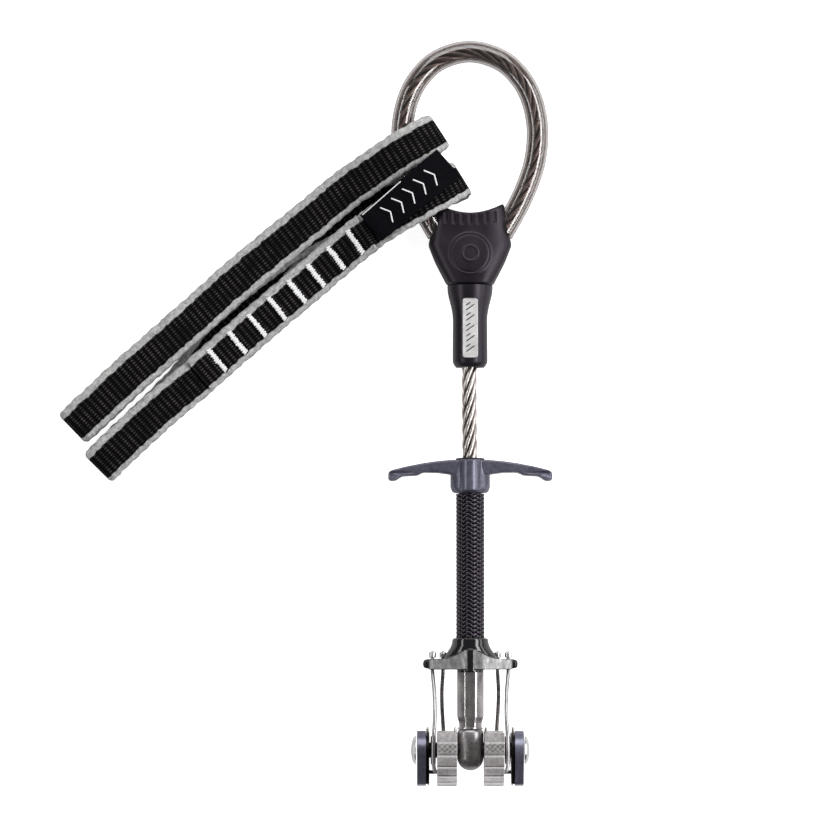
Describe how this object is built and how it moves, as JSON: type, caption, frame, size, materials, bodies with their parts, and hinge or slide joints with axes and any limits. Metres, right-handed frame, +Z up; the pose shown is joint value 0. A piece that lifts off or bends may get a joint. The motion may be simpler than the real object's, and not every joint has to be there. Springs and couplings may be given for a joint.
{
  "type": "spring loaded camming device",
  "caption": "Spring loaded camming device: sprung cam lobes on an axle at the end of a wire rope stem, with a sliding trigger, a sheathed thumb loop and a doubled webbing sling.",
  "frame": {"origin": "middle of the base of the whole device's box, as it lies on a table on its lower lobes", "axes": "+Y from the head to the thumb loop, +X to the right seen from above with the loop at the top, +Z up. The stem slopes down 3.45 degrees towards the loop."},
  "size_m": [0.1288, 0.1936, 0.029],
  "materials": {
    "wire_rope": "bright stranded stainless wire rope",
    "steel": "polished stainless",
    "dark_steel": "dark glossy coating",
    "natural_aluminium": "machined, knurled and clear anodised",
    "violet_anodised": "satin grey-violet anodised",
    "black_anodised": "gloss black, brushed front face",
    "silver_plate": "satin, lightly engraved",
    "black_plastic": "satin moulded",
    "clear_sheath": "clear greyish tube, glossy",
    "braid": "black braid",
    "webbing": "woven, black centre and pale grey edges",
    "patch_fabric": "black woven patch, sewn"
  },
  "bodies": {
    "stem": {"stem_cable": "wire_rope", "loop_sheath": "clear_sheath", "loop_ferrule": "steel", "stem_sleeve": "black_plastic", "label_plate": "silver_plate", "thumb_rest": "black_plastic", "head_terminal": "steel", "head_nose": "dark_steel", "axle": "steel", "axle_head_left": "steel", "axle_head_right": "steel", "spacer_left": "steel", "spacer_right": "steel", "sling": "webbing", "sling_patch": "patch_fabric"},
    "trigger": {"trigger_bar": "violet_anodised", "trigger_tube": "black_plastic", "braided_sleeve": "braid", "wire_bar": "black_anodised", "trigger_wire_outer_left": "steel", "trigger_wire_inner_left": "steel", "trigger_wire_outer_right": "steel", "trigger_wire_inner_right": "steel", "wire_ferrule_outer_left": "steel", "wire_ferrule_inner_left": "steel", "wire_ferrule_outer_right": "steel", "wire_ferrule_inner_right": "steel"},
    "cam_inner_left_body": {"cam_inner_left": "natural_aluminium", "cam_spring_inner_left": "steel"},
    "cam_outer_left_body": {"cam_outer_left": "violet_anodised", "cam_spring_outer_left": "steel"},
    "cam_inner_right_body": {"cam_inner_right": "natural_aluminium", "cam_spring_inner_right": "steel"},
    "cam_outer_right_body": {"cam_outer_right": "violet_anodised", "cam_spring_outer_right": "steel"}
  },
  "joints": [
    {"name": "trigger_pull", "type": "slide", "parent": "stem", "child": "trigger", "axis": [0, 0.9982, -0.0602], "range_m": [0, 0.01137], "stiffness_N_per_m": 400, "springref_m": -0.01},
    {"name": "cam_inner_left_turn", "type": "hinge", "parent": "stem", "child": "cam_inner_left_body", "pos_m": [0.04311, -0.08734, 0.01478], "axis": [-1, 0, 0], "range_deg": [0, 85]},
    {"name": "cam_outer_left_turn", "type": "hinge", "parent": "stem", "child": "cam_outer_left_body", "pos_m": [0.04311, -0.08734, 0.01478], "axis": [1, 0, 0], "range_deg": [0, 85]},
    {"name": "cam_inner_right_turn", "type": "hinge", "parent": "stem", "child": "cam_inner_right_body", "pos_m": [0.04311, -0.08734, 0.01478], "axis": [-1, 0, 0], "range_deg": [0, 85]},
    {"name": "cam_outer_right_turn", "type": "hinge", "parent": "stem", "child": "cam_outer_right_body", "pos_m": [0.04311, -0.08734, 0.01478], "axis": [1, 0, 0], "range_deg": [0, 85]}
  ],
  "couplings": [
    {"joint": "cam_inner_left_turn", "follows": "trigger_pull", "rad_per_m": 128.9},
    {"joint": "cam_outer_left_turn", "follows": "trigger_pull", "rad_per_m": 128.9},
    {"joint": "cam_inner_right_turn", "follows": "trigger_pull", "rad_per_m": 128.9},
    {"joint": "cam_outer_right_turn", "follows": "trigger_pull", "rad_per_m": 128.9}
  ]
}
